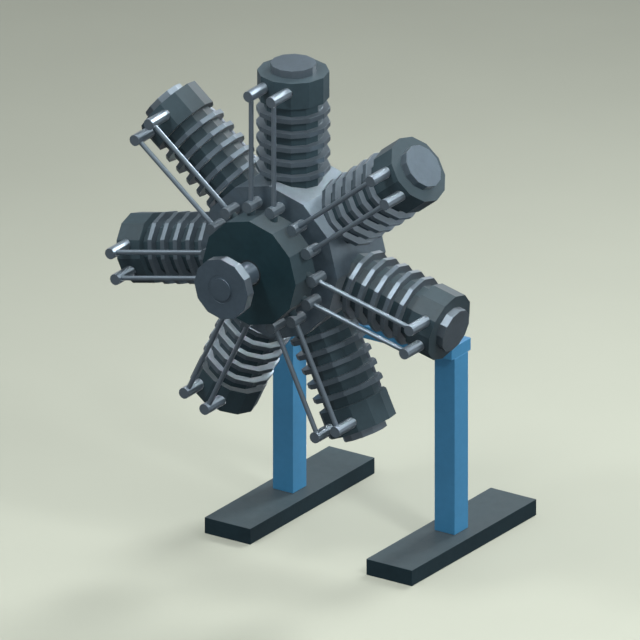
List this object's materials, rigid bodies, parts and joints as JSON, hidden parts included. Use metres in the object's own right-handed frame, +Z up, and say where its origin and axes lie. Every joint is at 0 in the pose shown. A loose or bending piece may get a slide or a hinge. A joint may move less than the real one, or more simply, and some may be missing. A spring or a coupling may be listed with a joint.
{
  "type": "radial engine on display stand",
  "caption": "Air-cooled single-row radial engine with finned cylinders, front pushrods and propeller flange, cantilevered from a blue two-post floor stand.",
  "frame": {"origin": "middle of the overall box, at floor level under the feet", "axes": "+Z up, -Y towards the propeller side along the crankshaft, +X across the two posts"},
  "size_m": [0.9646, 0.917, 1.315],
  "materials": {
    "engine_case": "dark slate grey enamel over cast aluminium, satin",
    "cylinder_finish": "dark grey enamel on the finned barrels, satin",
    "head_finish": "dark slate enamel, satin",
    "cap_finish": "grey satin enamel",
    "valve_gear_steel": "bare grey steel, satin",
    "flange_steel": "dark turned steel",
    "steel": "machined steel, lightly oiled",
    "rod_steel": "polished forged steel",
    "bronze": "bearing bronze",
    "plug_metal": "plated steel",
    "pipe_finish": "dark slate enamel",
    "seal_rubber": "black rubber",
    "mount_paint": "dark grey paint",
    "stand_blue": "mid blue paint, satin",
    "foot_iron": "dark blue-grey painted plate",
    "light_alloy": "bare alloy"
  },
  "bodies": {
    "engine": {"crankcase": "engine_case", "nose_case": "engine_case", "rear_cover": "engine_case", "cylinder_barrels": "cylinder_finish", "cylinder_heads": "head_finish", "head_caps": "cap_finish", "rocker_boxes": "valve_gear_steel", "rocker_shafts": "steel", "valve_guides": "bronze", "valve_springs": "steel", "spark_plugs": "plug_metal", "tappet_boxes": "valve_gear_steel", "tappet_guides": "engine_case", "pushrod_tubes": "valve_gear_steel", "pushrods": "steel", "rockers": "steel", "valves": "steel", "intake_pipes": "pipe_finish", "main_bearings": "bronze", "shaft_seal": "seal_rubber", "idler_pin": "steel", "mount_ring": "mount_paint", "mount_bolts": "steel", "mount_struts": "mount_paint", "mount_column": "mount_paint", "cross_beam": "stand_blue", "left_post": "stand_blue", "right_post": "stand_blue", "left_foot": "foot_iron", "right_foot": "foot_iron"},
    "crank": {"crankshaft": "steel", "rear_crank_web": "steel", "counterweights": "steel", "crank_gear": "steel", "impeller": "light_alloy", "prop_flange": "flange_steel", "pilot_nut": "flange_steel"},
    "oil_plug": {"oil_plug": "bronze"},
    "cam_ring": {"cam_ring": "steel"},
    "cam_idler": {"cam_idler": "steel"},
    "piston_1": {"piston_1": "light_alloy", "master_rod": "rod_steel"},
    "piston_2": {"piston_2": "light_alloy", "link_rod_2": "rod_steel"},
    "piston_3": {"piston_3": "light_alloy", "link_rod_3": "rod_steel"},
    "piston_4": {"piston_4": "light_alloy", "link_rod_4": "rod_steel"},
    "piston_5": {"piston_5": "light_alloy", "link_rod_5": "rod_steel"},
    "piston_6": {"piston_6": "light_alloy", "link_rod_6": "rod_steel"},
    "piston_7": {"piston_7": "light_alloy", "link_rod_7": "rod_steel"},
    "pushrod_1_intake": {"pushrod_1_intake": "steel"},
    "rocker_1_intake": {"rocker_1_intake": "steel"},
    "valve_1_intake": {"valve_1_intake": "steel"},
    "pushrod_1_exhaust": {"pushrod_1_exhaust": "steel"},
    "rocker_1_exhaust": {"rocker_1_exhaust": "steel"},
    "valve_1_exhaust": {"valve_1_exhaust": "steel"}
  },
  "joints": [
    {"name": "crank_spin", "type": "hinge", "parent": "engine", "child": "crank", "pos_m": [0, -0.1435, 0.833], "axis": [0, -1, 0], "continuous": true, "deforming": ["master_rod", "link_rod_2", "link_rod_3", "link_rod_4", "link_rod_5", "link_rod_6", "link_rod_7"]},
    {"name": "oil_plug_turn", "type": "hinge", "parent": "crank", "child": "oil_plug", "pos_m": [0, -0.1435, 0.862], "axis": [0, -1, 0], "continuous": true},
    {"name": "piston_1_stroke", "type": "hinge", "parent": "oil_plug", "child": "piston_1", "pos_m": [0, -0.1435, 0.891], "axis": [0, -1, 0], "continuous": true},
    {"name": "piston_2_stroke", "type": "hinge", "parent": "oil_plug", "child": "piston_2", "pos_m": [0.02827, -0.1435, 0.85555], "axis": [0, -1, 0], "continuous": true},
    {"name": "piston_3_stroke", "type": "hinge", "parent": "oil_plug", "child": "piston_3", "pos_m": [-0.01258, -0.1435, 0.83587], "axis": [0, -1, 0], "continuous": true},
    {"name": "piston_4_stroke", "type": "hinge", "parent": "oil_plug", "child": "piston_4", "pos_m": [-0.02267, -0.1435, 0.88008], "axis": [0, -1, 0], "continuous": true},
    {"name": "piston_5_stroke", "type": "hinge", "parent": "oil_plug", "child": "piston_5", "pos_m": [0.02267, -0.1435, 0.88008], "axis": [0, -1, 0], "continuous": true},
    {"name": "piston_6_stroke", "type": "hinge", "parent": "oil_plug", "child": "piston_6", "pos_m": [0.01258, -0.1435, 0.83587], "axis": [0, -1, 0], "continuous": true},
    {"name": "piston_7_stroke", "type": "hinge", "parent": "oil_plug", "child": "piston_7", "pos_m": [-0.02827, -0.1435, 0.85555], "axis": [0, -1, 0], "continuous": true},
    {"name": "cam_idler_spin", "type": "hinge", "parent": "engine", "child": "cam_idler", "pos_m": [0.072, -0.1435, 0.833], "axis": [0, -1, 0], "continuous": true},
    {"name": "cam_ring_spin", "type": "hinge", "parent": "engine", "child": "cam_ring", "pos_m": [0, -0.1435, 0.833], "axis": [0, -1, 0], "continuous": true},
    {"name": "pushrod_1_intake_slide", "type": "slide", "parent": "engine", "child": "pushrod_1_intake", "axis": [0, 0, 1], "range_m": [0, 0.006], "deforming": ["valve_springs"]},
    {"name": "rocker_1_intake_rock", "type": "hinge", "parent": "engine", "child": "rocker_1_intake", "pos_m": [-0.0327, -0.2155, 1.2684], "axis": [-1, 0, 0], "range_deg": [0, 5.7]},
    {"name": "valve_1_intake_slide", "type": "slide", "parent": "engine", "child": "valve_1_intake", "axis": [0, 0, -1], "range_m": [0, 0.0062], "stiffness_N_per_m": 3000, "springref_m": -0.003},
    {"name": "pushrod_1_exhaust_slide", "type": "slide", "parent": "engine", "child": "pushrod_1_exhaust", "axis": [0, 0, 1], "range_m": [0, 0.006], "deforming": ["valve_springs"]},
    {"name": "rocker_1_exhaust_rock", "type": "hinge", "parent": "engine", "child": "rocker_1_exhaust", "pos_m": [0.0327, -0.2155, 1.2684], "axis": [-1, 0, 0], "range_deg": [0, 5.7]},
    {"name": "valve_1_exhaust_slide", "type": "slide", "parent": "engine", "child": "valve_1_exhaust", "axis": [0, 0, -1], "range_m": [0, 0.0062], "stiffness_N_per_m": 3000, "springref_m": -0.003}
  ],
  "couplings": [
    {"joint": "oil_plug_turn", "follows": "crank_spin", "ratio": -2},
    {"joint": "piston_1_stroke", "follows": "crank_spin", "ratio": 1},
    {"joint": "piston_2_stroke", "follows": "crank_spin", "ratio": 1},
    {"joint": "piston_3_stroke", "follows": "crank_spin", "ratio": 1},
    {"joint": "piston_4_stroke", "follows": "crank_spin", "ratio": 1},
    {"joint": "piston_5_stroke", "follows": "crank_spin", "ratio": 1},
    {"joint": "piston_6_stroke", "follows": "crank_spin", "ratio": 1},
    {"joint": "piston_7_stroke", "follows": "crank_spin", "ratio": 1},
    {"joint": "cam_idler_spin", "follows": "crank_spin", "ratio": -1},
    {"joint": "cam_ring_spin", "follows": "crank_spin", "ratio": -0.16667},
    {"joint": "rocker_1_intake_rock", "follows": "pushrod_1_intake_slide", "rad_per_m": 16.393},
    {"joint": "valve_1_intake_slide", "follows": "pushrod_1_intake_slide", "ratio": 1.0164},
    {"joint": "rocker_1_exhaust_rock", "follows": "pushrod_1_exhaust_slide", "rad_per_m": 16.393},
    {"joint": "valve_1_exhaust_slide", "follows": "pushrod_1_exhaust_slide", "ratio": 1.0164}
  ]
}
